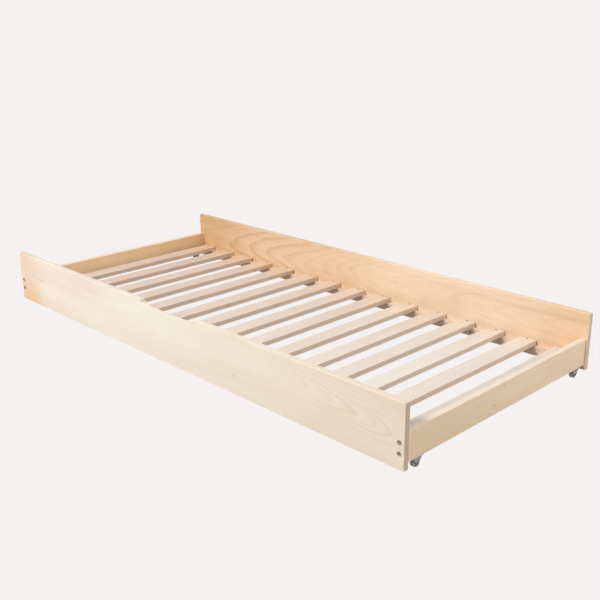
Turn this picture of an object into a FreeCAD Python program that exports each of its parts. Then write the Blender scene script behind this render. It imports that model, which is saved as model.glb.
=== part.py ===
"""Trundle bed: a low slatted bed on four fixed casters that rolls out from under a taller bed.

+X runs along the bed, -Y is the front with the hand scoop, +Z is up.
The origin is on the floor, below the middle of the bed. Millimetres.
"""
import FreeCAD, Part
import math
import os

Vec = FreeCAD.Vector

# Overall size and the floor clearance
LENGTH = 2000.0
WIDTH = 940.0
FLOOR_GAP = 15.0            # floor to the lower edge of the side panels

# Side panels
PANEL_THICKNESS = 20.0
PANEL_HEIGHT = 193.0
PANEL_EDGE_ROUND = 2.0
SCOOP_DEPTH = 20.5
SCOOP_FLAT = 236.0          # straight part of the scoop's lower edge
SCOOP_INNER_RADIUS = 40.0
SCOOP_LIP_RADIUS = 8.0

# End rails
RAIL_THICKNESS = 20.0
RAIL_HEIGHT = 91.0
RAIL_LIFT = 15.0            # rail's lower edge above the panels' lower edge
RAIL_INSET = 6.0            # rail's outer face in from the panel ends
RAIL_EDGE_ROUND = 2.0

# Ledgers and slats
LEDGER_DEPTH = 20.0
LEDGER_HEIGHT = 30.0
LEDGER_LIFT = 8.0           # ledger's lower edge above the panels' lower edge
SLAT_WIDTH = 62.0
SLAT_THICKNESS = 18.0
SLAT_END_GAP = 3.0          # slat end to panel
SLAT_EDGE_ROUND = 1.5
# X of the slats' centre lines. They are set down by hand about 132 apart, so the pitch varies.
SLAT_CENTRES = (-919.0, -787.0, -657.0, -526.0, -390.0, -247.0, -115.0, 19.0,
                148.0, 281.0, 414.0, 542.0, 664.0, 789.0, 923.0)

# Wood screws: head radius, shank radius, length, head's cone height
SLAT_SCREW = dict(head=3.6, shank=1.8, length=35.0, cone=2.2)
LEDGER_SCREW = dict(head=3.8, shank=2.0, length=32.0, cone=2.4)
CASTER_SCREW = dict(head=3.4, shank=1.7, length=18.0, cone=1.4)
SCREW_TIP_RADIUS = 0.2
CROSS_REACH = 1.1           # cross recess length over the head's radius
CROSS_ARM_WIDTH = 0.9
CROSS_DEPTH = 1.2
LEDGER_SCREW_PITCH = 378.0
LEDGER_SCREW_COUNT = 6

# Knock-down corner fittings
BOLT_DROPS = (28.0, 60.0)   # bolt centres below the rail's top edge
BOLT_SHANK_RADIUS = 3.0
BOLT_HEAD_RADIUS = 7.0
BOLT_HEAD_HEIGHT = 4.5
BOLT_SEAT_DEPTH = 7.0       # counterbore depth from the panel's outer face
BOLT_BORE_RADIUS = 7.5
BOLT_LENGTH = 40.0
BOLT_CLEARANCE = 0.5        # radial, in the panels and rails
HEX_KEY_SIZE = 5.0
HEX_KEY_DEPTH = 3.0
INSERT_RADIUS = 5.0         # threaded inserts in the rails' ends
INSERT_LENGTH = 25.0
INSERT_SLOT_WIDTH = 1.5
INSERT_SLOT_DEPTH = 2.0
DOWEL_RADIUS = 4.0
DOWEL_LENGTH = 34.0
DOWEL_IN_PANEL = 12.0
DOWEL_CHAMFER = 0.8
DOWEL_DROPS = (14.0, 77.0)  # dowel centres below the rail's top edge

# Casters
CASTER_FROM_CENTRE = 404.0  # caster centre from the bed's long centre line
WHEEL_RADIUS = 13.0
WHEEL_WIDTH = 14.0
TYRE_THICKNESS = 3.0
TYRE_SHOULDER_ROUND = 2.0
RIM_THICKNESS = 2.0
RIM_WIDTH = 13.0
HUB_RADIUS = 4.6
HUB_LENGTH = 15.6
WEB_THICKNESS = 4.0
AXLE_RADIUS = 2.0
AXLE_CLEARANCE = 0.05
AXLE_HEAD_RADIUS = 3.6
AXLE_HEAD_HEIGHT = 1.2
BRACKET_SHEET = 1.5
BRACKET_LENGTH = 52.0       # along the rolling direction
BRACKET_WIDTH = 19.0
BRACKET_CORNER_RADIUS = 3.0
BRACKET_LEG_TOP = 34.0      # leg width where it leaves the plate
BRACKET_LEG_END_RADIUS = 6.5
BRACKET_SCREW_PITCH = 40.0

METAL_EDGE_ROUND = 0.8      # bolt heads and rivet heads
OVERRUN = 2.0               # how far a cutting solid reaches past the face it cuts

# Derived positions
PANEL_TOP = FLOOR_GAP + PANEL_HEIGHT
INNER_HALF_WIDTH = WIDTH / 2 - PANEL_THICKNESS
RAIL_BOTTOM = FLOOR_GAP + RAIL_LIFT
RAIL_TOP = RAIL_BOTTOM + RAIL_HEIGHT
RAIL_CENTRE_X = LENGTH / 2 - RAIL_INSET - RAIL_THICKNESS / 2
INNER_HALF_LENGTH = RAIL_CENTRE_X - RAIL_THICKNESS / 2
LEDGER_BOTTOM = FLOOR_GAP + LEDGER_LIFT
LEDGER_TOP = LEDGER_BOTTOM + LEDGER_HEIGHT
SLAT_TOP = LEDGER_TOP + SLAT_THICKNESS
SLAT_HALF_LENGTH = INNER_HALF_WIDTH - SLAT_END_GAP
LEDGER_CENTRE_Y = INNER_HALF_WIDTH - LEDGER_DEPTH / 2

ENDS = {"left": -1, "right": 1}
SIDES = {"front": -1, "back": 1}


def box(x_range, y_range, z_range):
    """Axis-aligned box from three (low, high) pairs."""
    sizes = [high - low for low, high in (x_range, y_range, z_range)]
    return Part.makeBox(*sizes, Vec(x_range[0], y_range[0], z_range[0]))


def rod(centre, direction, radius, length):
    """Cylinder that starts at a point and runs along a direction."""
    return Part.makeCylinder(radius, length, Vec(*centre), Vec(*direction))


def rounded(shape, radius, wanted):
    """Shape with a small round on every edge that the test picks."""
    edges = [edge for edge in shape.Edges if wanted(edge)]
    return shape.makeFillet(radius, edges)


def runs_along(edge, axis):
    """True for a straight edge parallel to the axis (0, 1 or 2)."""
    if not isinstance(edge.Curve, (Part.Line, Part.LineSegment)):
        return False
    step = edge.Vertexes[-1].Point - edge.Vertexes[0].Point
    return abs(step[axis]) > 0.999 * step.Length


def wood_screw(head_point, direction, size):
    """Countersunk wood screw with a cross recess; its flat head is flush at head_point."""
    drive = Vec(*direction)
    head = Part.makeCone(size["head"], size["shank"], size["cone"], Vec(*head_point), drive)
    shank_length = size["length"] - size["cone"] - 2 * size["shank"]
    shank_start = Vec(*head_point) + drive * size["cone"]
    shank = Part.makeCylinder(size["shank"], shank_length, shank_start, drive)
    point = Part.makeCone(size["shank"], SCREW_TIP_RADIUS, 2 * size["shank"],
                          shank_start + drive * shank_length, drive)
    return head.fuse([shank, point]).removeSplitter()


def cross_recess(head_point, direction, size):
    """Cross-shaped pocket for the screwdriver, cut into a screw's head."""
    drive = Vec(*direction)
    arm = size["head"] * CROSS_REACH
    blades = []
    for turn in (0, 90):
        blade = Part.makeBox(arm, CROSS_ARM_WIDTH, CROSS_DEPTH, Vec(-arm / 2, -CROSS_ARM_WIDTH / 2, 0))
        blade.rotate(Vec(0, 0, 0), Vec(0, 0, 1), turn)
        on_head = FreeCAD.Placement(Vec(*head_point), FreeCAD.Rotation(Vec(0, 0, 1), drive))
        blade.Placement = on_head.multiply(blade.Placement)
        blades.append(blade)
    return blades[0].fuse(blades[1])


# ---- where the fasteners go -------------------------------------------------

def slat_screw_places(side):
    """Head points and direction of the screws that hold the slats to one ledger."""
    return [((x, side * LEDGER_CENTRE_Y, SLAT_TOP), (0, 0, -1)) for x in SLAT_CENTRES]


def ledger_screw_places(side):
    """Head points and direction of the screws that hold one ledger to its panel."""
    first = -LEDGER_SCREW_PITCH * (LEDGER_SCREW_COUNT - 1) / 2
    height = LEDGER_BOTTOM + LEDGER_HEIGHT / 2
    face = side * (INNER_HALF_WIDTH - LEDGER_DEPTH)
    return [((first + index * LEDGER_SCREW_PITCH, face, height), (0, side, 0))
            for index in range(LEDGER_SCREW_COUNT)]


def caster_screw_places(end, side):
    """Head points and direction of the two screws of one caster."""
    under_plate = RAIL_BOTTOM - BRACKET_SHEET
    centre = side * CASTER_FROM_CENTRE
    return [((end * RAIL_CENTRE_X, centre + step * BRACKET_SCREW_PITCH / 2, under_plate), (0, 0, 1))
            for step in (-1, 1)]


def bolt_heights():
    """Heights of the connector bolts above the floor."""
    return [RAIL_TOP - drop for drop in BOLT_DROPS]


def dowel_heights():
    """Heights of the corner dowels above the floor."""
    return [RAIL_TOP - drop for drop in DOWEL_DROPS]


# ---- fasteners --------------------------------------------------------------

def screws(places, size):
    """Plain screw solids for a list of places."""
    return [wood_screw(point, direction, size) for point, direction in places]


def finished_screws(places, size):
    """Screws with their cross recesses cut."""
    return [wood_screw(point, direction, size).cut(cross_recess(point, direction, size))
            for point, direction in places]


def connector_bolt(end, side, height):
    """Socket-head bolt through a side panel into the end of an end rail."""
    seat_y = side * (WIDTH / 2 - BOLT_SEAT_DEPTH)
    x = end * RAIL_CENTRE_X
    head = rod((x, seat_y, height), (0, side, 0), BOLT_HEAD_RADIUS, BOLT_HEAD_HEIGHT)
    near_top_y = abs(seat_y) + BOLT_HEAD_HEIGHT - METAL_EDGE_ROUND / 2
    head = rounded(head, METAL_EDGE_ROUND, lambda edge: abs(edge.CenterOfMass.y) > near_top_y)
    shank = rod((x, seat_y, height), (0, -side, 0), BOLT_SHANK_RADIUS, BOLT_LENGTH)
    corner = HEX_KEY_SIZE / math.sqrt(3)
    top_y = seat_y + side * (BOLT_HEAD_HEIGHT - HEX_KEY_DEPTH)
    points = [Vec(x + corner * math.cos(math.radians(60 * k)), top_y,
                  height + corner * math.sin(math.radians(60 * k))) for k in range(7)]
    socket = Part.Face(Part.makePolygon(points)).extrude(Vec(0, side * (HEX_KEY_DEPTH + OVERRUN), 0))
    return head.fuse(shank).cut(socket)


def bolt_passage(end, side, height):
    """Counterbore, clearance hole and the bolt hole in the rail's end."""
    x = end * RAIL_CENTRE_X
    seat_y = side * (WIDTH / 2 - BOLT_SEAT_DEPTH)
    counterbore = rod((x, seat_y, height), (0, side, 0), BOLT_BORE_RADIUS, BOLT_SEAT_DEPTH + OVERRUN)
    shank_hole = rod((x, seat_y, height), (0, -side, 0), BOLT_SHANK_RADIUS + BOLT_CLEARANCE,
                     BOLT_LENGTH + OVERRUN)
    return counterbore.fuse(shank_hole)


def insert_seat(end, side, height):
    """Hole in the rail's end that a threaded insert fills."""
    start = (end * RAIL_CENTRE_X, side * INNER_HALF_WIDTH, height)
    return rod(start, (0, -side, 0), INSERT_RADIUS, INSERT_LENGTH)


def rail_insert(end, side, height):
    """Threaded insert in the rail's end, with its thread hole and a screwdriver slot."""
    x = end * RAIL_CENTRE_X
    rail_end_y = side * INNER_HALF_WIDTH
    thread = rod((x, rail_end_y, height), (0, -side, 0), BOLT_SHANK_RADIUS, INSERT_LENGTH)
    slot = box((x - INSERT_RADIUS, x + INSERT_RADIUS),
               (rail_end_y - INSERT_SLOT_DEPTH, rail_end_y + INSERT_SLOT_DEPTH),
               (height - INSERT_SLOT_WIDTH / 2, height + INSERT_SLOT_WIDTH / 2))
    return insert_seat(end, side, height).cut([thread, slot])


def corner_dowel(end, side, height):
    """Wooden dowel between a panel and the end of an end rail."""
    start = (end * RAIL_CENTRE_X, side * (INNER_HALF_WIDTH + DOWEL_IN_PANEL), height)
    dowel = rod(start, (0, -side, 0), DOWEL_RADIUS, DOWEL_LENGTH)
    return dowel.makeChamfer(DOWEL_CHAMFER, [edge for edge in dowel.Edges if len(edge.Vertexes) == 1])


def at_corners(make, heights, ends=ENDS, sides=SIDES):
    """One solid for each end, side and height."""
    return [make(end, side, height) for end in ends.values() for side in sides.values() for height in heights]


# ---- wooden parts -----------------------------------------------------------

def panel_outline(scooped):
    """Closed wire of a side panel in the XZ plane at y = 0."""
    half = LENGTH / 2
    corners = [Vec(half, 0, PANEL_TOP), Vec(half, 0, FLOOR_GAP),
               Vec(-half, 0, FLOOR_GAP), Vec(-half, 0, PANEL_TOP)]
    if not scooped:
        return Part.makePolygon(corners + corners[:1])
    bottom = PANEL_TOP - SCOOP_DEPTH
    reach = SCOOP_LIP_RADIUS + SCOOP_INNER_RADIUS
    run = math.sqrt(reach ** 2 - (reach - SCOOP_DEPTH) ** 2)
    lip_share = SCOOP_LIP_RADIUS / reach
    half_angle = math.atan2(run, reach - SCOOP_DEPTH) / 2
    edges = [Part.makeLine(corners[k], corners[k + 1]) for k in range(3)]
    for end in (-1, 1):
        flat_x = end * SCOOP_FLAT / 2
        lip_x = flat_x + end * run
        join = Vec(lip_x - end * run * lip_share, 0, PANEL_TOP - SCOOP_DEPTH * lip_share)
        lip_mid = Vec(lip_x - end * SCOOP_LIP_RADIUS * math.sin(half_angle), 0,
                      PANEL_TOP - SCOOP_LIP_RADIUS * (1 - math.cos(half_angle)))
        inner_mid = Vec(flat_x + end * SCOOP_INNER_RADIUS * math.sin(half_angle), 0,
                        bottom + SCOOP_INNER_RADIUS * (1 - math.cos(half_angle)))
        top_corner = corners[3] if end < 0 else corners[0]
        edges.append(Part.makeLine(top_corner, Vec(lip_x, 0, PANEL_TOP)))
        edges.append(Part.Arc(Vec(lip_x, 0, PANEL_TOP), lip_mid, join).toShape())
        edges.append(Part.Arc(join, inner_mid, Vec(flat_x, 0, bottom)).toShape())
    edges.append(Part.makeLine(Vec(-SCOOP_FLAT / 2, 0, bottom), Vec(SCOOP_FLAT / 2, 0, bottom)))
    return Part.Wire(Part.__sortEdges__(edges))


def side_panel(side):
    """Front or back panel with eased edges and all its bores."""
    inner_y = side * INNER_HALF_WIDTH
    wire = panel_outline(scooped=side < 0)
    wire.translate(Vec(0, inner_y, 0))
    panel = Part.Face(wire).extrude(Vec(0, side * PANEL_THICKNESS, 0))
    panel = rounded(panel, PANEL_EDGE_ROUND, lambda edge: not runs_along(edge, 1))
    one_side = {"this": side}
    cuts = at_corners(bolt_passage, bolt_heights(), sides=one_side)
    cuts += at_corners(corner_dowel, dowel_heights(), sides=one_side)
    cuts += screws(ledger_screw_places(side), LEDGER_SCREW)
    return panel.cut(cuts)


def end_rail(end):
    """End rail between the panels, bored for its fittings and caster screws."""
    x_range = sorted((end * INNER_HALF_LENGTH, end * (INNER_HALF_LENGTH + RAIL_THICKNESS)))
    rail = box(x_range, (-INNER_HALF_WIDTH, INNER_HALF_WIDTH), (RAIL_BOTTOM, RAIL_TOP))
    rail = rounded(rail, RAIL_EDGE_ROUND, lambda edge: runs_along(edge, 1))
    one_end = {"this": end}
    cuts = at_corners(bolt_passage, bolt_heights(), ends=one_end)
    cuts += at_corners(insert_seat, bolt_heights(), ends=one_end)
    cuts += at_corners(corner_dowel, dowel_heights(), ends=one_end)
    for side in SIDES.values():
        cuts += screws(caster_screw_places(end, side), CASTER_SCREW)
    return rail.cut(cuts)


def ledger(side):
    """Batten along the inside of a panel, which the slats lie on."""
    y_range = sorted((side * INNER_HALF_WIDTH, side * (INNER_HALF_WIDTH - LEDGER_DEPTH)))
    batten = box((-INNER_HALF_LENGTH, INNER_HALF_LENGTH), y_range, (LEDGER_BOTTOM, LEDGER_TOP))
    cuts = screws(ledger_screw_places(side), LEDGER_SCREW) + screws(slat_screw_places(side), SLAT_SCREW)
    return batten.cut(cuts)


def slat(index):
    """One slat with rounded long edges and a screw hole at each end."""
    centre = SLAT_CENTRES[index]
    board = box((centre - SLAT_WIDTH / 2, centre + SLAT_WIDTH / 2), (-SLAT_HALF_LENGTH, SLAT_HALF_LENGTH),
                (LEDGER_TOP, SLAT_TOP))
    board = rounded(board, SLAT_EDGE_ROUND, lambda edge: runs_along(edge, 1))
    cuts = [wood_screw(*slat_screw_places(side)[index], SLAT_SCREW) for side in SIDES.values()]
    return board.cut(cuts)


# ---- casters ----------------------------------------------------------------

def caster_bracket(end, side):
    """Steel plate under the end rail with two tapering legs beside the wheel."""
    x = end * RAIL_CENTRE_X
    y = side * CASTER_FROM_CENTRE
    plate_bottom = RAIL_BOTTOM - BRACKET_SHEET
    half_width = BRACKET_WIDTH / 2
    plate = box((x - half_width, x + half_width), (y - BRACKET_LENGTH / 2, y + BRACKET_LENGTH / 2),
                (plate_bottom, RAIL_BOTTOM))
    plate = rounded(plate, BRACKET_CORNER_RADIUS, lambda edge: runs_along(edge, 2))
    drop = plate_bottom - WHEEL_RADIUS
    half_top = BRACKET_LEG_TOP / 2
    reach = math.hypot(half_top, drop)
    tangent = math.atan2(drop, half_top) - math.acos(BRACKET_LEG_END_RADIUS / reach)
    touch_y = BRACKET_LEG_END_RADIUS * math.cos(tangent)
    touch_z = BRACKET_LEG_END_RADIUS * math.sin(tangent)
    axle_z = WHEEL_RADIUS
    legs = []
    for face_x in (x - half_width, x + half_width - BRACKET_SHEET):
        top_left = Vec(face_x, y - half_top, RAIL_BOTTOM)
        shoulder_left = Vec(face_x, y - half_top, plate_bottom)
        left = Vec(face_x, y - touch_y, axle_z + touch_z)
        low = Vec(face_x, y, axle_z - BRACKET_LEG_END_RADIUS)
        right = Vec(face_x, y + touch_y, axle_z + touch_z)
        shoulder_right = Vec(face_x, y + half_top, plate_bottom)
        top_right = Vec(face_x, y + half_top, RAIL_BOTTOM)
        outline = Part.Wire([
            Part.makeLine(top_left, shoulder_left),
            Part.makeLine(shoulder_left, left),
            Part.Arc(left, low, right).toShape(),
            Part.makeLine(right, shoulder_right),
            Part.makeLine(shoulder_right, top_right),
            Part.makeLine(top_right, top_left),
        ])
        legs.append(Part.Face(outline).extrude(Vec(BRACKET_SHEET, 0, 0)))
    bracket = plate.fuse(legs).removeSplitter()
    cuts = [rod((x - half_width, y, axle_z), (1, 0, 0), AXLE_RADIUS, BRACKET_WIDTH)]
    cuts += screws(caster_screw_places(end, side), CASTER_SCREW)
    return bracket.cut(cuts)


def caster_axle(end, side):
    """Rivet through the bracket's legs and the wheel."""
    x = end * RAIL_CENTRE_X
    y = side * CASTER_FROM_CENTRE
    half_width = BRACKET_WIDTH / 2
    shank = rod((x - half_width, y, WHEEL_RADIUS), (1, 0, 0), AXLE_RADIUS, BRACKET_WIDTH)
    near_top_x = half_width + AXLE_HEAD_HEIGHT - METAL_EDGE_ROUND / 2
    heads = []
    for way in (-1, 1):
        head = rod((x + way * half_width, y, WHEEL_RADIUS), (way, 0, 0), AXLE_HEAD_RADIUS, AXLE_HEAD_HEIGHT)
        heads.append(rounded(head, METAL_EDGE_ROUND, lambda edge: abs(edge.CenterOfMass.x - x) > near_top_x))
    return shank.fuse(heads)


def ring(x, y, inner_radius, outer_radius, width):
    """Ring about the wheel's axle, centred on x."""
    start = (x - width / 2, y, WHEEL_RADIUS)
    outer = rod(start, (1, 0, 0), outer_radius, width)
    return outer.cut(rod(start, (1, 0, 0), inner_radius, width))


def wheel_core(end, side):
    """Plastic wheel: hub, web and rim."""
    x = end * RAIL_CENTRE_X
    y = side * CASTER_FROM_CENTRE
    rim_radius = WHEEL_RADIUS - TYRE_THICKNESS
    bore = AXLE_RADIUS + AXLE_CLEARANCE
    hub = ring(x, y, bore, HUB_RADIUS, HUB_LENGTH)
    web = ring(x, y, bore, rim_radius - RIM_THICKNESS / 2, WEB_THICKNESS)
    rim = ring(x, y, rim_radius - RIM_THICKNESS, rim_radius, RIM_WIDTH)
    return hub.fuse([web, rim]).removeSplitter()


def tyre(end, side):
    """Soft tyre with rounded shoulders around the wheel's rim."""
    x = end * RAIL_CENTRE_X
    y = side * CASTER_FROM_CENTRE
    band = ring(x, y, WHEEL_RADIUS - TYRE_THICKNESS, WHEEL_RADIUS, WHEEL_WIDTH)
    mid_tyre = 2 * math.pi * (WHEEL_RADIUS - TYRE_THICKNESS / 2)
    return rounded(band, TYRE_SHOULDER_ROUND, lambda edge: edge.Length > mid_tyre)


# ---- all nodes --------------------------------------------------------------

def build():
    """Every node's name and its solids."""
    nodes = {}
    for name, side in SIDES.items():
        nodes[name + "_panel"] = [side_panel(side)]
        nodes[name + "_ledger"] = [ledger(side)]
    for name, end in ENDS.items():
        nodes[name + "_end_rail"] = [end_rail(end)]
    for index in range(len(SLAT_CENTRES)):
        nodes["slat_%02d" % (index + 1)] = [slat(index)]
    nodes["slat_screws"] = [screw for side in SIDES.values()
                            for screw in finished_screws(slat_screw_places(side), SLAT_SCREW)]
    nodes["ledger_screws"] = [screw for side in SIDES.values()
                              for screw in finished_screws(ledger_screw_places(side), LEDGER_SCREW)]
    nodes["caster_screws"] = [screw for end in ENDS.values() for side in SIDES.values()
                              for screw in finished_screws(caster_screw_places(end, side), CASTER_SCREW)]
    nodes["connector_bolts"] = at_corners(connector_bolt, bolt_heights())
    nodes["rail_inserts"] = at_corners(rail_insert, bolt_heights())
    nodes["corner_dowels"] = at_corners(corner_dowel, dowel_heights())
    for side_name, side in SIDES.items():
        for end_name, end in ENDS.items():
            prefix = side_name + "_" + end_name
            nodes[prefix + "_caster_bracket"] = [caster_bracket(end, side)]
            nodes[prefix + "_caster_axle"] = [caster_axle(end, side)]
            nodes[prefix + "_wheel_core"] = [wheel_core(end, side)]
            nodes[prefix + "_tyre"] = [tyre(end, side)]
    return nodes


os.makedirs("parts", exist_ok=True)
for node, solids in build().items():
    shape = solids[0] if len(solids) == 1 else Part.makeCompound(solids)
    shape.exportStep("parts/%s.step" % node)
    print(node, "valid" if shape.isValid() else "INVALID", len(shape.Solids), round(shape.Volume))
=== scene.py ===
import math

import bpy
from mathutils import Matrix, Vector


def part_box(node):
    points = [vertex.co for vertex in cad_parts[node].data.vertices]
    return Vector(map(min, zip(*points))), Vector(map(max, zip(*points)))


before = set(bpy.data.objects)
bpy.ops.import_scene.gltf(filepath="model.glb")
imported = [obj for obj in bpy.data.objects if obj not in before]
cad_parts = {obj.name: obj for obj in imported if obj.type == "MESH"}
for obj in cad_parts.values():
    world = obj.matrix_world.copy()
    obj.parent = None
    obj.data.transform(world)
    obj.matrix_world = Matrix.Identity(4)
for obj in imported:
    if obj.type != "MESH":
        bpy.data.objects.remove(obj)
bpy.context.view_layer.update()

SLAT_COUNT = 15
CASTERS = ("front_left", "front_right", "back_left", "back_right")


def linear(red, green, blue):
    """A display colour given in steps of 255, as the linear colour a shader takes."""
    def one(step):
        share = step / 255
        return share / 12.92 if share <= 0.04045 else ((share + 0.055) / 1.055) ** 2.4
    return (one(red), one(green), one(blue), 1.0)


# --- shader writing ----------------------------------------------------------------------


class Shader:
    """A material's node tree, written as short expressions."""

    def __init__(self, name):
        self.material = bpy.data.materials.new(name)
        self.material.use_nodes = True
        self.tree = self.material.node_tree
        self.tree.nodes.clear()
        self.surface = self.tree.nodes.new("ShaderNodeBsdfPrincipled")
        output = self.tree.nodes.new("ShaderNodeOutputMaterial")
        self.tree.links.new(self.surface.outputs[0], output.inputs[0])
        coordinates = self.tree.nodes.new("ShaderNodeTexCoord")
        self.place = coordinates.outputs["Object"]
        self.facing = coordinates.outputs["Normal"]

    def put(self, socket, value):
        if isinstance(value, bpy.types.NodeSocket):
            self.tree.links.new(value, socket)
        else:
            socket.default_value = value

    def set(self, socket_name, value):
        self.put(self.surface.inputs[socket_name], value)

    def math(self, operation, first, second=0.0, third=0.0):
        node = self.tree.nodes.new("ShaderNodeMath")
        node.operation = operation
        for socket, value in zip(node.inputs, (first, second, third)):
            self.put(socket, value)
        return node.outputs[0]

    def vector(self, operation, first, second=(0.0, 0.0, 0.0)):
        node = self.tree.nodes.new("ShaderNodeVectorMath")
        node.operation = operation
        self.put(node.inputs[0], first)
        self.put(node.inputs[1], second)
        return node.outputs["Value" if operation == "LENGTH" else "Vector"]

    def split(self, vector):
        node = self.tree.nodes.new("ShaderNodeSeparateXYZ")
        self.put(node.inputs[0], vector)
        return list(node.outputs)

    def join(self, x, y, z):
        node = self.tree.nodes.new("ShaderNodeCombineXYZ")
        for socket, value in zip(node.inputs, (x, y, z)):
            self.put(socket, value)
        return node.outputs[0]

    def noise(self, place, scale, detail=3.0, roughness=0.5, seed=0.0, colour=False):
        node = self.tree.nodes.new("ShaderNodeTexNoise")
        node.noise_dimensions = "4D"
        self.put(node.inputs["Vector"], self.vector("MULTIPLY", place, scale))
        node.inputs["W"].default_value = seed
        node.inputs["Scale"].default_value = 1.0
        node.inputs["Detail"].default_value = detail
        node.inputs["Roughness"].default_value = roughness
        return node.outputs["Color" if colour else "Fac"]

    def smooth(self, value, low, high, to_low=0.0, to_high=1.0):
        node = self.tree.nodes.new("ShaderNodeMapRange")
        node.interpolation_type = "SMOOTHSTEP"
        self.put(node.inputs["Value"], value)
        node.inputs["From Min"].default_value = low
        node.inputs["From Max"].default_value = high
        node.inputs["To Min"].default_value = to_low
        node.inputs["To Max"].default_value = to_high
        return node.outputs["Result"]

    def blend(self, share, first, second, mode="MIX"):
        node = self.tree.nodes.new("ShaderNodeMix")
        node.data_type = "RGBA"
        node.blend_type = mode
        self.put(node.inputs["Factor"], share)
        self.put(node.inputs[6], first)
        self.put(node.inputs[7], second)
        return node.outputs[2]

    def curve(self, value, terms):
        """terms[0] + terms[1] * value + terms[2] * value squared."""
        slope = self.math("MULTIPLY_ADD", value, terms[2], terms[1])
        return self.math("MULTIPLY_ADD", slope, value, terms[0])

    def tints(self, value, stops):
        """Smooth colour run through (position 0..1, colour) stops."""
        node = self.tree.nodes.new("ShaderNodeValToRGB")
        node.color_ramp.interpolation = "EASE"
        elements = node.color_ramp.elements
        while len(elements) < len(stops):
            elements.new(0.5)
        for element, (position, colour) in zip(elements, stops):
            element.position = position
            element.color = colour
        self.put(node.inputs[0], value)
        return node.outputs[0]

    def bump(self, height, strength, distance):
        node = self.tree.nodes.new("ShaderNodeBump")
        node.inputs["Strength"].default_value = strength
        node.inputs["Distance"].default_value = distance
        self.put(node.inputs["Height"], height)
        self.put(self.surface.inputs["Normal"], node.outputs[0])


def dress(node_name, shader):
    """The node's every material slot takes this material."""
    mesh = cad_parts[node_name].data
    if not mesh.materials:
        mesh.materials.append(shader.material)
    for index in range(len(mesh.materials)):
        mesh.materials[index] = shader.material


# --- wood --------------------------------------------------------------------------------

# Object axes along the grain, across the board and through it, by how the board lies
AXES = {"X": (0, 2, 1), "Y": (1, 2, 0), "FLAT_Y": (1, 0, 2)}
# Darkness through one growth ring, as (place in the ring, level)
LATEWOOD = ((0.0, 0.0), (0.45, 0.08), (0.78, 0.70), (0.92, 1.0), (1.0, 0.0))
END_GRAIN = linear(186, 156, 128)
KNOT = linear(120, 78, 48)
# Painted highlight colour along the arrises
PAINTED_EDGE_HIGHLIGHT = linear(255, 244, 230)


def grey(level):
    return (level, level, level, 1.0)


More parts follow.
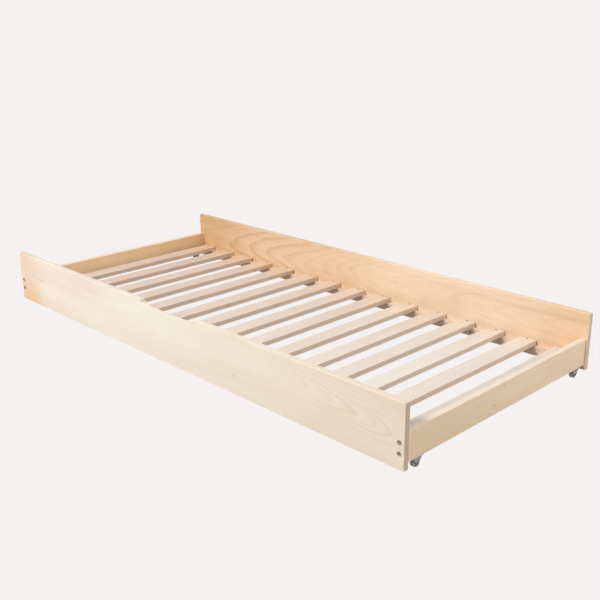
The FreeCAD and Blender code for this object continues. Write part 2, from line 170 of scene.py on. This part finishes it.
def board(name, axes, tone, late, heart, ring, contrast, seed, sway=0.012, fade=None,
          knots=(), end=(0.8, END_GRAIN), painted_edge_shading=None, stain=None):
    """One board of solid softwood. tone is the colour run along the board and late the
    latewood's colour. heart is the log's centre line beside the board (across, through), each a
    curve in metres along it; ring is the growth rings' width and contrast their strength. fade
    changes that strength along the board. Each knot is (along, across, size, depth, length).
    end is (share, colour) on the ends; the edge shading argument is (share, colour) on the faces across
    the board, painted light and shade. stain is (along, across, reach, colour)."""
    shader = Shader(name + "_wood")
    low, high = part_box(name)
    middle = (low + high) / 2
    half = (high - low) / 2
    centred = shader.split(shader.vector("SUBTRACT", shader.place, tuple(middle)))
    along, across, through = (centred[axis] for axis in axes)
    place = shader.join(along, across, through)
    run = shader.math("MULTIPLY_ADD", along, 0.5 / half[axes[0]], 0.5)

    # growth rings: distance from the log's wandering centre line
    drift = shader.noise(place, (1.7, 6.0, 6.0), 2.0, 0.5, seed, colour=True)
    drift = shader.vector("MULTIPLY", shader.vector("SUBTRACT", drift, (0.5, 0.5, 0.5)),
                          (0.0, 3.0 * sway, 4.0 * sway))
    bent = shader.split(shader.vector("ADD", place, drift))
    off_across = shader.math("SUBTRACT", bent[1], shader.curve(along, heart[0]))
    off_through = shader.math("SUBTRACT", bent[2], shader.curve(along, heart[1]))
    radius = shader.vector("LENGTH", shader.join(0.0, off_across, off_through))
    wobble = shader.noise(place, (4.0, 18.0, 18.0), 4.0, 0.55, seed + 3.1)
    count = shader.math("MULTIPLY_ADD", wobble, 0.9, shader.math("DIVIDE", radius, ring))
    year = shader.tree.nodes.new("ShaderNodeTexWhiteNoise")
    year.noise_dimensions = "1D"
    shader.put(year.inputs["W"], shader.math("ADD", shader.math("FLOOR", count), seed))
    vigour = shader.math("MULTIPLY_ADD", year.outputs["Value"], 0.8, 0.2)
    profile = shader.tints(shader.math("FRACT", count),
                           [(position, grey(level)) for position, level in LATEWOOD])
    latewood = shader.math("MULTIPLY", profile, vigour)
    patchy = shader.noise(place, (2.6, 14.0, 14.0), 2.0, 0.5, seed + 4.2)
    strength = shader.smooth(patchy, 0.30, 0.70, 0.45 * contrast, contrast)
    if fade is not None:
        strength = shader.math("MULTIPLY", strength, shader.smooth(along, *fade))

    # fibres, fine pores and slow changes of tone
    streak = shader.noise(place, (4.0, 210.0, 210.0), 4.0, 0.62, seed + 7.7)
    fine = shader.noise(place, (24.0, 1400.0, 1400.0), 2.0, 0.6, seed + 1.3)
    broad = shader.noise(place, (1.4, 10.0, 10.0), 3.0, 0.55, seed + 5.9)
    vein = shader.smooth(shader.noise(place, (1.5, 75.0, 75.0), 3.0, 0.6, seed + 6.6), 0.52, 0.74,
                         0.0, 0.30 * contrast)
    flecks = shader.smooth(shader.noise(place, (70.0, 2400.0, 2400.0), 1.0, 0.5, seed + 2.4), 0.62, 0.78)

    colour = shader.tints(run, tone)
    colour = shader.blend(shader.math("MULTIPLY", latewood, strength), colour, late)
    colour = shader.blend(shader.smooth(broad, 0.38, 0.78, 0.0, 0.35), colour, late)
    colour = shader.blend(vein, colour, late)
    level = shader.math("MULTIPLY_ADD", streak, 0.11, 0.945)
    level = shader.math("MULTIPLY", level, shader.math("MULTIPLY_ADD", fine, 0.09, 0.955))
    level = shader.math("MULTIPLY", level, shader.math("MULTIPLY_ADD", flecks, -0.10, 1.0))
    colour = shader.blend(1.0, colour, shader.join(level, level, level), "MULTIPLY")
    for knot_along, knot_across, size, depth, length in knots:
        off = shader.join(shader.math("DIVIDE", shader.math("SUBTRACT", along, knot_along), length),
                          shader.math("SUBTRACT", across, knot_across), 0.0)
        gap = shader.math("MULTIPLY_ADD", wobble, size, shader.vector("LENGTH", off))
        spot = shader.smooth(gap, size * 0.8, size * 1.9, depth, 0.0)
        colour = shader.blend(spot, colour, KNOT)
    if stain is not None:
        stain_along, stain_across, reach, tint = stain
        off = shader.join(shader.math("SUBTRACT", along, stain_along),
                          shader.math("SUBTRACT", across, stain_across), 0.0)
        gap = shader.math("MULTIPLY_ADD", broad, 0.06, shader.vector("LENGTH", off))
        colour = shader.blend(shader.smooth(gap, 0.03, reach, 1.0, 0.0), colour, tint)

    # end grain is darker; the faces across the board carry painted light and shade (browner slat sides
    # for shade and warm bounce light, lighter rail tops and bottoms for light); the arrises carry a
    # painted highlight
    facing = shader.split(shader.facing)
    cut_end = shader.smooth(shader.math("ABSOLUTE", facing[axes[0]]), 0.6, 0.9)
    colour = shader.blend(shader.math("MULTIPLY", cut_end, end[0]), colour, end[1])
    # Painted light and shade on the faces across the board, picked out by which way they face.
    if painted_edge_shading is not None:
        painted_edge_mask = shader.smooth(shader.math("ABSOLUTE", facing[axes[1]]), 0.6, 0.9)
        colour = shader.blend(shader.math("MULTIPLY", painted_edge_mask, painted_edge_shading[0]), colour, painted_edge_shading[1])
    depths = [shader.math("SUBTRACT", half[axis], shader.math("ABSOLUTE", centred[axis]))
              for axis in range(3)]
    nearer = shader.math("MINIMUM", depths[0], depths[1])
    farther = shader.math("MAXIMUM", depths[0], depths[1])
    arris = shader.math("MAXIMUM", nearer, shader.math("MINIMUM", farther, depths[2]))
    # Painted highlight along the arrises, broken up by noise.
    edge_highlight_breakup = shader.noise(place, (18.0, 90.0, 90.0), 3.0, 0.6, seed + 9.4)
    edge_highlight = shader.math("MULTIPLY", shader.smooth(arris, 0.0006, 0.0040, 1.0, 0.0),
                      shader.smooth(edge_highlight_breakup, 0.30, 0.75, 0.0, 0.40))
    colour = shader.blend(edge_highlight, colour, PAINTED_EDGE_HIGHLIGHT)

    shader.set("Base Color", colour)
    gloss = shader.math("MULTIPLY_ADD", streak, 0.16, 0.46)
    shader.set("Roughness", shader.math("MULTIPLY_ADD", cut_end, 0.14, gloss))
    shader.set("Specular IOR Level", 0.35)
    height = shader.math("MULTIPLY_ADD", fine, 0.5, shader.math("MULTIPLY", streak, 0.7))
    height = shader.math("MULTIPLY_ADD", latewood, -0.30, height)
    shader.bump(height, 0.30, 0.0005)
    dress(name, shader)


# The front panel's tone run grows slightly darker towards its right end: painted falloff of light.
board("front_panel", AXES["X"],
      ((0.0, linear(234, 209, 184)), (0.13, linear(239, 226, 210)), (0.35, linear(238, 229, 215)),
       (0.65, linear(233, 223, 204)), (1.0, linear(232, 216, 196))),
      late=linear(208, 184, 153), heart=((0.110, -0.12, 0.0), (0.020, 0.0, 0.045)),
      ring=0.0046, contrast=0.48, seed=2.0,
      fade=(0.35, 0.75, 0.22, 1.0),
      knots=((0.333, -0.033, 0.0060, 0.18, 1.7), (-0.865, 0.0140, 0.0009, 0.50, 50.0),
             (-0.825, 0.0105, 0.0009, 0.40, 36.0)),
      end=(0.8, linear(177, 151, 129)), stain=(-0.94, -0.105, 0.16, linear(234, 192, 152)))
# The back panel's tone run is darker at its left end and lighter towards its right: painted light and
# shade.
board("back_panel", AXES["X"],
      ((0.0, linear(221, 181, 137)), (0.25, linear(238, 207, 171)), (0.45, linear(240, 209, 172)),
       (0.62, linear(248, 224, 194)), (0.85, linear(250, 223, 195)), (1.0, linear(246, 212, 176))),
      late=linear(196, 140, 88), heart=((0.022, 0.010, 0.0), (0.12, -0.10, -0.01)),
      ring=0.0092, contrast=0.64, seed=11.0,
      fade=(0.15, -0.4, 0.34, 1.0), end=(0.8, linear(201, 178, 156)))
RAIL_LATE = linear(200, 168, 132)
RAIL_HEART = ((0.02, 0.01, 0.0), (0.06, 0.02, 0.0))
# Painted light: a lighter, more neutral colour on the rails' top and bottom faces, for the light falling
# on the tops.
RAIL_TOP_PAINTED_LIGHT = (0.70, linear(240, 226, 213))
board("left_end_rail", AXES["Y"],
      ((0.0, linear(245, 213, 176)), (0.5, linear(245, 210, 171)), (1.0, linear(226, 194, 146))),
      RAIL_LATE, RAIL_HEART, ring=0.006, contrast=0.28, seed=21.0, painted_edge_shading=RAIL_TOP_PAINTED_LIGHT)
# The right rail's tone run is darker at its front end: painted shade.
board("right_end_rail", AXES["Y"],
      ((0.0, linear(223, 198, 167)), (1.0, linear(245, 220, 192))),
      RAIL_LATE, RAIL_HEART, ring=0.006, contrast=0.32, seed=25.0, painted_edge_shading=RAIL_TOP_PAINTED_LIGHT,
      knots=((-0.015, 0.0355, 0.0060, 0.24, 1.6), (-0.06, -0.0145, 0.0060, 0.22, 1.6)))
for ledger, seed in (("front_ledger", 31.0), ("back_ledger", 35.0)):
    board(ledger, AXES["X"],
          ((0.0, linear(236, 212, 188)), (1.0, linear(238, 217, 196))),
          late=linear(206, 174, 146), heart=((0.01, 0.01, 0.0), (0.05, 0.01, 0.0)),
          ring=0.005, contrast=0.30, seed=seed)
# Multiples of these spread evenly between 0 and 1 without repeating
GOLDEN = 0.618034
SILVER = 0.414214
for index in range(SLAT_COUNT):
    share = index / (SLAT_COUNT - 1)
    first = (index * GOLDEN) % 1.0
    second = (index * SILVER + 0.3) % 1.0
    shade = 4 * second - 2
    red, green, blue = 224 + 9 * share - shade, 201 + 24 * share - shade, 186 + 30 * share - shade
    # Painted bounce light at the slat ends: the warmer front stop stands for warm light in the front
    # panel's shadow, and the lighter, pinker back stop for light bounced off the back panel.
    board(f"slat_{index + 1:02d}", AXES["FLAT_Y"],
          ((0.0, linear(red + 4, green - 10, blue - 20)), (0.2, linear(red, green, blue)),
           (0.7, linear(red, green, blue)),
           (1.0, linear(red + 8, green - 2 + 6 * share, blue - 13 + 9 * share))),
          late=linear(206, 180, 156),
          heart=((0.06 * (first - 0.5), 0.02 * (second - 0.5), 0.0),
                 (0.03 + 0.05 * second, 0.04 * (first - 0.5), 0.0)),
          # Painted shade and warm bounce light on the slats' side faces.
          ring=0.0045, contrast=0.32, seed=41.0 + 3.7 * index, painted_edge_shading=(0.5, linear(208, 177, 150)))


# --- metal, plastic and rubber -----------------------------------------------------------


def metal(name, base, worn, rough, seed, metallic=1.0):
    shader = Shader(name)
    patch = shader.noise(shader.place, (220.0, 220.0, 220.0), 4.0, 0.6, seed)
    tooth = shader.noise(shader.place, (900.0, 900.0, 900.0), 2.0, 0.6, seed + 4.0)
    colour = shader.blend(shader.smooth(patch, 0.42, 0.66), base, worn)
    shader.set("Base Color", colour)
    shader.set("Metallic", metallic)
    gloss = shader.math("MULTIPLY_ADD", patch, 0.22, rough - 0.11)
    shader.set("Roughness", shader.math("MULTIPLY_ADD", tooth, 0.12, gloss))
    shader.bump(shader.math("ADD", tooth, shader.math("MULTIPLY", patch, 0.5)), 0.25, 0.0001)
    return shader


def moulded(name, base, scuffed, rough, seed, grain, depth):
    shader = Shader(name)
    patch = shader.noise(shader.place, (160.0, 160.0, 160.0), 5.0, 0.6, seed)
    tooth = shader.noise(shader.place, (grain, grain, grain), 3.0, 0.6, seed + 2.0)
    shader.set("Base Color", shader.blend(shader.smooth(patch, 0.40, 0.72), base, scuffed))
    shader.set("Roughness", shader.math("MULTIPLY_ADD", patch, 0.25, rough - 0.12))
    shader.bump(tooth, 0.4, depth)
    return shader


def dowel_wood(name, seed):
    shader = Shader(name)
    streak = shader.noise(shader.place, (420.0, 24.0, 420.0), 4.0, 0.6, seed)
    flecks = shader.noise(shader.place, (1500.0, 220.0, 1500.0), 2.0, 0.5, seed + 3.0)
    colour = shader.blend(streak, linear(224, 188, 150), linear(190, 146, 104))
    colour = shader.blend(shader.smooth(flecks, 0.60, 0.74, 0.0, 0.5), colour, linear(140, 96, 62))
    shader.set("Base Color", colour)
    shader.set("Roughness", shader.math("MULTIPLY_ADD", streak, 0.2, 0.5))
    shader.bump(streak, 0.3, 0.0003)
    return shader


screw_steel = metal("screw_steel", linear(108, 102, 94), linear(150, 144, 134), 0.42, 61.0)
bolt_bronze = metal("bolt_bronze", linear(182, 154, 118), linear(230, 208, 176), 0.42, 63.0,
                    metallic=0.85)
insert_steel = metal("insert_steel", linear(150, 150, 148), linear(184, 184, 180), 0.36, 65.0)
bracket_steel = metal("bracket_steel", linear(160, 163, 162), linear(196, 199, 198), 0.46, 67.0,
                      metallic=0.7)
axle_steel = metal("axle_steel", linear(120, 121, 120), linear(158, 158, 156), 0.38, 69.0)
wheel_plastic = moulded("wheel_plastic", linear(146, 150, 150), linear(166, 168, 166),
                        0.50, 71.0, 2400.0, 0.0001)
tyre_rubber = moulded("tyre_rubber", linear(172, 165, 157), linear(192, 187, 180), 0.72, 73.0,
                      3000.0, 0.0002)

for name in ("slat_screws", "ledger_screws", "caster_screws"):
    dress(name, screw_steel)
dress("connector_bolts", bolt_bronze)
dress("rail_inserts", insert_steel)
dress("corner_dowels", dowel_wood("dowel_beech", 75.0))
for caster in CASTERS:
    dress(caster + "_caster_bracket", bracket_steel)
    dress(caster + "_caster_axle", axle_steel)
    dress(caster + "_wheel_core", wheel_plastic)
    dress(caster + "_tyre", tyre_rubber)


# --- studio ------------------------------------------------------------------------------

PAPER = linear(245, 241, 240)
BOUNCE = (0.55, 0.55, 0.55, 1.0)
FLOOR_REACH = 30.0
WALL_HEIGHT = 25.0
WALL_SIDES = 96
DAYLIGHT = 0.44


def studio_material(name, kind, colour):
    """One plain shader node, for the parts of the studio."""
    material = bpy.data.materials.new(name)
    material.use_nodes = True
    tree = material.node_tree
    tree.nodes.clear()
    shader = tree.nodes.new(kind)
    shader.inputs["Color"].default_value = colour
    output = tree.nodes.new("ShaderNodeOutputMaterial")
    tree.links.new(shader.outputs[0], output.inputs[0])
    return material


def studio_part(name, points, faces, material, seen):
    """A part of the studio that only the camera sees, or that only the light sees."""
    mesh = bpy.data.meshes.new(name)
    mesh.from_pydata(points, [], faces)
    mesh.materials.append(material)
    part = bpy.data.objects.new(name, mesh)
    bpy.context.scene.collection.objects.link(part)
    part.visible_camera = seen
    part.visible_diffuse = not seen
    part.visible_glossy = not seen
    part.visible_shadow = not seen


paper = studio_material("studio_paper", "ShaderNodeEmission", PAPER)
bounce = studio_material("studio_bounce", "ShaderNodeBsdfDiffuse", BOUNCE)
rim = [(FLOOR_REACH * math.cos(2 * math.pi * k / WALL_SIDES),
        FLOOR_REACH * math.sin(2 * math.pi * k / WALL_SIDES)) for k in range(WALL_SIDES)]
studio_part("studio_floor", [(x, y, 0.0) for x, y in rim], [list(range(WALL_SIDES))], paper, True)
studio_part("studio_wall", [(x, y, z) for z in (0.0, WALL_HEIGHT) for x, y in rim],
            [(k, (k + 1) % WALL_SIDES, (k + 1) % WALL_SIDES + WALL_SIDES, k + WALL_SIDES)
             for k in range(WALL_SIDES)], paper, True)
studio_part("studio_bounce", [(x, y, -0.001) for x, y in rim], [list(range(WALL_SIDES))],
            bounce, False)

world = bpy.data.worlds.new("studio")
world.use_nodes = True
world.node_tree.nodes["Background"].inputs["Color"].default_value = (1.0, 1.0, 1.0, 1.0)
world.node_tree.nodes["Background"].inputs["Strength"].default_value = DAYLIGHT
bpy.context.scene.world = world


def softbox(name, place, target, width, height, power, colour):
    data = bpy.data.lights.new(name, "AREA")
    data.shape = "RECTANGLE"
    data.size = width
    data.size_y = height
    data.energy = power
    data.color = colour
    lamp = bpy.data.objects.new(name, data)
    bpy.context.scene.collection.objects.link(lamp)
    lamp.location = place
    lamp.rotation_euler = (Vector(target) - Vector(place)).to_track_quat("-Z", "Y").to_euler()
    lamp.visible_camera = False
    return lamp


softbox("key", (-1.0, -5.0, 4.2), (0.0, 0.0, 0.1), 2.4, 1.8, 304.0, (1.0, 0.995, 0.985))
softbox("fill", (5.5, 1.0, 2.9), (0.0, 0.0, 0.1), 3.0, 2.0, 138.0, (1.0, 1.0, 1.0))
back_light = softbox("back", (-3.5, 4.5, 2.2), (0.0, 0.0, 0.1), 3.0, 2.0, 60.0, (1.0, 1.0, 1.0))
back_light.visible_glossy = False

scene = bpy.context.scene
scene.view_settings.view_transform = "Standard"
scene.view_settings.look = "None"

# --- camera ------------------------------------------------------------------------------

AZIMUTH = math.radians(45.91)
ELEVATION = math.radians(18.77)
ROLL = math.radians(-0.49)
EYE = Vector((2.23307, -2.02634, 1.15059))
FOCAL = 52.447          # millimetres, on a sensor 36 wide

ahead = Vector((-math.sin(AZIMUTH) * math.cos(ELEVATION),
                math.cos(AZIMUTH) * math.cos(ELEVATION), -math.sin(ELEVATION)))
sideways = Vector((math.cos(AZIMUTH), math.sin(AZIMUTH), 0.0))
above = sideways.cross(ahead)
right = math.cos(ROLL) * sideways + math.sin(ROLL) * above
up = -math.sin(ROLL) * sideways + math.cos(ROLL) * above

camera_data = bpy.data.cameras.new("camera")
camera_data.sensor_width = 36.0
camera_data.lens = FOCAL
camera = bpy.data.objects.new("camera", camera_data)
scene.collection.objects.link(camera)
turn = Matrix((right, up, -ahead)).transposed().to_4x4()
camera.matrix_world = Matrix.Translation(EYE) @ turn
scene.camera = camera
